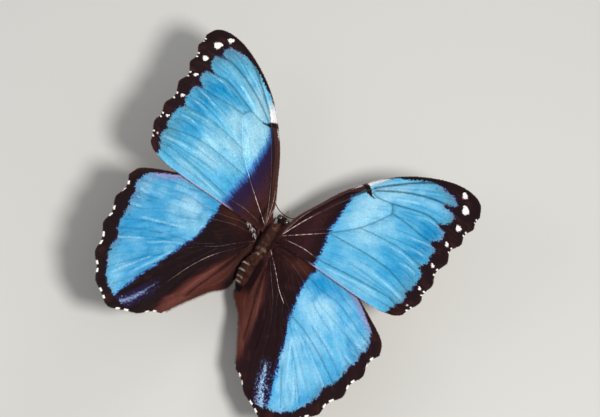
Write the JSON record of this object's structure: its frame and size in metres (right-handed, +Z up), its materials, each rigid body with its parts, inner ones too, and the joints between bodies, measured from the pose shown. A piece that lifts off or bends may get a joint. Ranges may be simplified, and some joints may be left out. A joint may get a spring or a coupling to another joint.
{
  "type": "blue morpho butterfly",
  "caption": "Large butterfly standing on its slim legs with scalloped wings spread and raised, a hairy body, feelers with clubs and a coiled tongue.",
  "frame": {"origin": "on the ground plane under the middle of the outer box, between the four feet", "axes": "+Z up, the head faces -Y, the butterfly's own left wings point to +X"},
  "size_m": [0.1008, 0.096, 0.0315],
  "materials": {
    "wing": "scaled membrane, satin blue above with black-brown borders and white marks, brown with eyespots below",
    "body": "dark brown hair",
    "eye": "glossy, finely faceted",
    "limb": "dark brown, finely scaled",
    "palp": "pale grey scales"
  },
  "bodies": {
    "root": {"head": "body", "thorax": "body", "abdomen": "body", "eye_left": "eye", "eye_right": "eye", "palp_left": "palp", "palp_right": "palp", "proboscis": "limb", "antenna_left": "limb", "antenna_right": "limb", "leg_fore_left": "limb", "leg_fore_right": "limb", "leg_mid_left": "limb", "leg_mid_right": "limb", "leg_hind_left": "limb", "leg_hind_right": "limb", "wing_fore_left": "wing", "wing_fore_right": "wing", "wing_hind_left": "wing", "wing_hind_right": "wing"}
  },
  "joints": []
}
